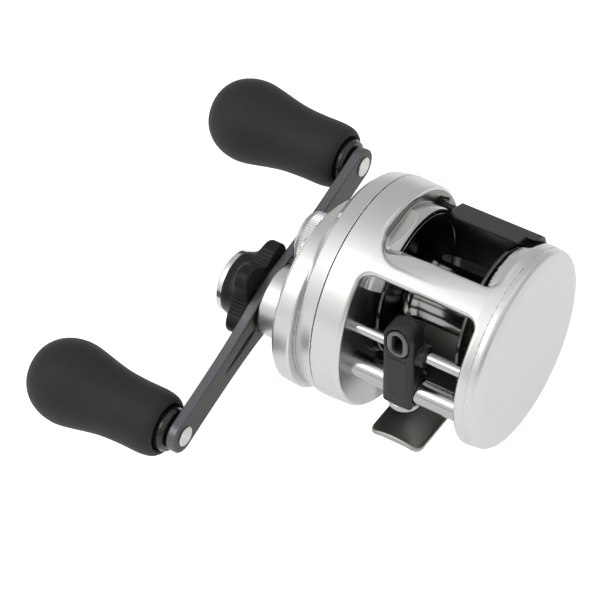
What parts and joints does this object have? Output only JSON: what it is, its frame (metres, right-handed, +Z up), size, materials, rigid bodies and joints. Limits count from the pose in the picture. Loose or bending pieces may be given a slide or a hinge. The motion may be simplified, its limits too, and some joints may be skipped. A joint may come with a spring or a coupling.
{
  "type": "baitcasting reel",
  "caption": "Round-body baitcasting reel with a double-handle crank, star drag, level-wind line guide, thumb-bar clutch and a saddle foot.",
  "frame": {"origin": "at the middle of the foot's flat seat on the rod (mount foot_seat)", "axes": "+X along the body axis towards the palm side plate (the crank is on -X); -Y towards the line guide, +Y towards the thumb bar; +Z up, away from the rod"},
  "size_m": [0.1198, 0.1125, 0.064],
  "materials": {
    "satin_aluminium": "satin anodised silver",
    "polished_aluminium": "polished, knurled",
    "gunmetal_alloy": "dark anodised, slightly glossy",
    "dark_anodised": "dark, mirror polished",
    "dark_grey_alloy": "dark grey anodised",
    "steel": "bright machined",
    "polished_steel": "polished",
    "brass": "machined",
    "black_plastic": "satin black",
    "satin_black": "satin black",
    "gloss_black": "gloss black",
    "white_plastic": "natural",
    "black_rubber": "matte moulded",
    "ceramic_grey": "polished grey ceramic",
    "carbon_fibre_washer": "woven friction washer"
  },
  "bodies": {
    "reel_body": {"frame": "satin_aluminium", "handle_side_plate": "satin_aluminium", "palm_side_plate": "satin_aluminium", "gear_plate": "gunmetal_alloy", "reel_foot": "gunmetal_alloy", "foot_screw_front": "steel", "foot_screw_rear": "steel", "side_plate_screw_1": "steel", "side_plate_screw_2": "steel", "side_plate_screw_3": "steel", "guide_rod": "polished_steel", "level_wind_tube": "polished_steel", "brake_drum": "brass", "spool_bearing_palm": "steel", "spool_bearing_handle": "steel", "pinion_bearing": "steel", "drive_shaft_bearing": "steel", "one_way_clutch": "steel", "pawl_pivot_pin": "steel", "yoke_guide_pin_a": "steel", "yoke_guide_pin_b": "steel"},
    "crank": {"drive_shaft": "steel", "level_wind_drive_gear": "black_plastic", "anti_reverse_ratchet": "steel", "drive_gear": "brass", "drag_washer": "carbon_fibre_washer", "drag_pressure_plate": "steel", "drag_sleeve": "steel", "handle_arm": "dark_grey_alloy", "knob_post_a": "steel", "knob_post_b": "steel", "handle_end_cap": "polished_steel"},
    "star_drag": {"star_drag_knob": "black_plastic"},
    "knob_a": {"knob_grip_a": "black_rubber", "knob_bushing_a": "gloss_black"},
    "knob_b": {"knob_grip_b": "black_rubber", "knob_bushing_b": "gloss_black"},
    "spool_assembly": {"spool": "dark_anodised", "spool_shaft": "steel", "spool_cross_pin": "steel", "brake_hub": "black_plastic"},
    "brake_shoe_1": {"brake_block_1": "white_plastic"},
    "brake_shoe_2": {"brake_block_2": "white_plastic"},
    "brake_shoe_3": {"brake_block_3": "white_plastic"},
    "brake_shoe_4": {"brake_block_4": "white_plastic"},
    "reverse_pawl": {"anti_reverse_pawl": "steel"},
    "yoke": {"clutch_yoke": "steel"},
    "pinion": {"pinion_gear": "brass"},
    "worm": {"worm_shaft": "steel", "worm_gear": "brass"},
    "line_guide_carriage": {"line_guide": "black_plastic", "guide_insert": "ceramic_grey", "pawl_cap": "polished_steel"},
    "guide_pawl": {"level_wind_pawl": "brass"},
    "thumb_release": {"thumb_bar": "satin_black", "clutch_cam": "steel"},
    "cast_control": {"cast_control_knob": "polished_aluminium", "cast_control_washer": "brass"}
  },
  "joints": [
    {"name": "crank_turn", "type": "hinge", "parent": "reel_body", "child": "crank", "pos_m": [-0.033, -0.01425, 0.01674], "axis": [1, 0, 0], "continuous": true},
    {"name": "star_drag_turn", "type": "hinge", "parent": "crank", "child": "star_drag", "pos_m": [-0.053, -0.01425, 0.01674], "axis": [1, 0, 0], "range_deg": [-300, 240]},
    {"name": "knob_a_spin", "type": "hinge", "parent": "crank", "child": "knob_a", "pos_m": [-0.068, 0.03021, 0.03102], "axis": [1, 0, 0], "continuous": true},
    {"name": "knob_b_spin", "type": "hinge", "parent": "crank", "child": "knob_b", "pos_m": [-0.068, -0.05871, 0.00246], "axis": [1, 0, 0], "continuous": true},
    {"name": "spool_spin", "type": "hinge", "parent": "reel_body", "child": "spool_assembly", "pos_m": [0.002, -0.0001, 0.0288], "axis": [1, 0, 0], "continuous": true},
    {"name": "thumb_bar_press", "type": "slide", "parent": "reel_body", "child": "thumb_release", "axis": [0, 0.76, -0.6499], "range_m": [0, 0.0036]},
    {"name": "yoke_slide", "type": "slide", "parent": "reel_body", "child": "yoke", "axis": [-1, 0, 0], "range_m": [0, 0.0018]},
    {"name": "pinion_spin", "type": "hinge", "parent": "yoke", "child": "pinion", "pos_m": [-0.032, -0.0001, 0.0288], "axis": [1, 0, 0], "continuous": true},
    {"name": "worm_spin", "type": "hinge", "parent": "reel_body", "child": "worm", "pos_m": [0.002, -0.02467, 0.018], "axis": [1, 0, 0], "continuous": true},
    {"name": "line_guide_traverse", "type": "slide", "parent": "reel_body", "child": "line_guide_carriage", "axis": [1, 0, 0], "range_m": [-0.01, 0.0094]},
    {"name": "level_wind_pawl_swivel", "type": "hinge", "parent": "line_guide_carriage", "child": "guide_pawl", "pos_m": [0.0005, -0.02467, 0.0139], "axis": [0, 0, 1], "range_deg": [-30, 30]},
    {"name": "anti_reverse_pawl_swing", "type": "hinge", "parent": "reel_body", "child": "reverse_pawl", "pos_m": [-0.0275, -0.00465, 0.00774], "axis": [1, 0, 0], "range_deg": [0, 10]},
    {"name": "brake_block_1_slide", "type": "slide", "parent": "spool_assembly", "child": "brake_shoe_1", "axis": [0, 0.7071, 0.7071], "range_m": [0, 0.0004]},
    {"name": "brake_block_2_slide", "type": "slide", "parent": "spool_assembly", "child": "brake_shoe_2", "axis": [0, -0.7071, 0.7071], "range_m": [0, 0.0004]},
    {"name": "brake_block_3_slide", "type": "slide", "parent": "spool_assembly", "child": "brake_shoe_3", "axis": [0, -0.7071, -0.7071], "range_m": [0, 0.0004]},
    {"name": "brake_block_4_slide", "type": "slide", "parent": "spool_assembly", "child": "brake_shoe_4", "axis": [0, 0.7071, -0.7071], "range_m": [0, 0.0004]},
    {"name": "cast_control_turn", "type": "hinge", "parent": "reel_body", "child": "cast_control", "pos_m": [-0.042, -0.0001, 0.0288], "axis": [1, 0, 0], "range_deg": [-180, 300]}
  ],
  "couplings": [
    {"joint": "spool_spin", "follows": "crank_turn", "ratio": -5.2},
    {"joint": "pinion_spin", "follows": "crank_turn", "ratio": -5.2},
    {"joint": "worm_spin", "follows": "crank_turn", "ratio": -1.625},
    {"joint": "yoke_slide", "follows": "thumb_bar_press", "ratio": 0.5}
  ]
}
